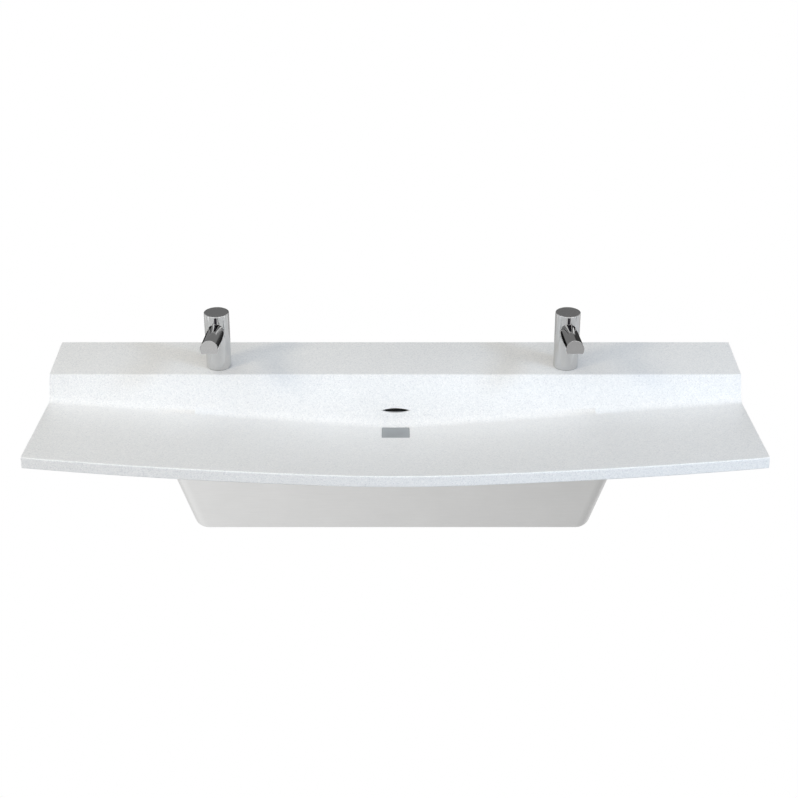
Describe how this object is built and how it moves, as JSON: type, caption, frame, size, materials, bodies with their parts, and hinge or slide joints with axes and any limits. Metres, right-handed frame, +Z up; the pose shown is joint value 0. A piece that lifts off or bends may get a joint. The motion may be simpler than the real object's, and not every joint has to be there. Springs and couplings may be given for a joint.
{
  "type": "commercial restroom sink",
  "caption": "Wall-hung restroom sink: speckled stone deck with a sloping shared basin, touchless deck faucets, a covered drain and a hinged steel trap enclosure.",
  "frame": {"origin": "centre of the four wall bolts, on the wall plane at the back of the rail, 74 mm below the top of the ledge", "axes": "+X to the user's right along the deck, +Y out of the back into the wall, +Z up"},
  "size_m": [1.524, 0.6279, 0.4255],
  "materials": {
    "quartz": "cast resin-bound quartz, fine pale grey speckle, satin polish",
    "faucet_chrome": "polished chrome on cast brass",
    "chrome": "chrome-plated brass",
    "cover_steel": "brushed stainless steel",
    "satin_steel": "fine satin stainless steel sheet",
    "frame_steel": "grey powder-coated steel",
    "zinc_steel": "zinc-plated steel",
    "brass": "plain machined brass and copper tube",
    "rubber": "matt black rubber",
    "grey_plastic": "moulded grey plastic",
    "black_plastic": "moulded black plastic",
    "sensor_window": "gloss black sensor window"
  },
  "bodies": {
    "sink": {"sink_deck": "quartz", "wall_rail": "frame_steel", "support_arm_left": "frame_steel", "support_arm_right": "frame_steel", "deck_screws": "zinc_steel", "service_panel": "satin_steel", "panel_screws": "zinc_steel", "hinge_pins": "zinc_steel", "drain_body": "chrome", "drain_strainer": "cover_steel", "drain_gasket": "rubber", "drain_locknut": "brass", "tailpiece": "chrome", "tailpiece_nut": "chrome", "trap_bend": "chrome", "trap_inlet_nut": "chrome", "trap_arm": "chrome", "trap_outlet_nut": "chrome", "trap_escutcheon": "chrome", "overflow_housing": "black_plastic", "hot_stop": "chrome", "hot_riser": "brass", "cold_stop": "chrome", "cold_riser": "brass", "mixing_valve": "brass", "supply_tee": "brass", "tube_nuts": "brass", "control_box": "grey_plastic", "control_cover": "grey_plastic", "control_screws": "zinc_steel", "faucet_gaskets": "rubber", "faucet_washers": "zinc_steel", "faucet_nuts": "brass", "faucet_body_left": "faucet_chrome", "faucet_cap_left": "faucet_chrome", "faucet_spout_left": "faucet_chrome", "aerator_left": "black_plastic", "sensor_lens_left": "sensor_window", "faucet_shank_left": "brass", "branch_tube_left": "brass", "feed_tube_left": "brass", "solenoid_valve_left": "brass", "solenoid_coil_left": "black_plastic", "faucet_body_right": "faucet_chrome", "faucet_cap_right": "faucet_chrome", "faucet_spout_right": "faucet_chrome", "aerator_right": "black_plastic", "sensor_lens_right": "sensor_window", "faucet_shank_right": "brass", "branch_tube_right": "brass", "feed_tube_right": "brass", "solenoid_valve_right": "brass", "solenoid_coil_right": "black_plastic"},
    "enclosure": {"trap_enclosure": "satin_steel", "enclosure_screws": "zinc_steel"},
    "cover": {"drain_cover": "cover_steel"},
    "hot_handle": {"hot_stop_handle": "chrome"},
    "cold_handle": {"cold_stop_handle": "chrome"},
    "knob": {"mixing_knob": "black_plastic"}
  },
  "joints": [
    {"name": "enclosure_swing", "type": "hinge", "parent": "sink", "child": "enclosure", "pos_m": [0, -0.026, -0.1965], "axis": [1, 0, 0], "range_deg": [0, 55]},
    {"name": "cover_lift", "type": "slide", "parent": "sink", "child": "cover", "axis": [0, 0.2291, 0.9734], "range_m": [0, 0.06]},
    {"name": "hot_stop_turn", "type": "hinge", "parent": "sink", "child": "hot_handle", "pos_m": [-0.1084, -0.066, -0.141], "axis": [0, 1, 0], "range_deg": [0, 90]},
    {"name": "cold_stop_turn", "type": "hinge", "parent": "sink", "child": "cold_handle", "pos_m": [0.0948, -0.066, -0.141], "axis": [0, 1, 0], "range_deg": [0, 90]},
    {"name": "mixing_knob_turn", "type": "hinge", "parent": "sink", "child": "knob", "pos_m": [-0.0068, -0.08, -0.021], "axis": [0, -1, 0], "range_deg": [0, 270]}
  ]
}
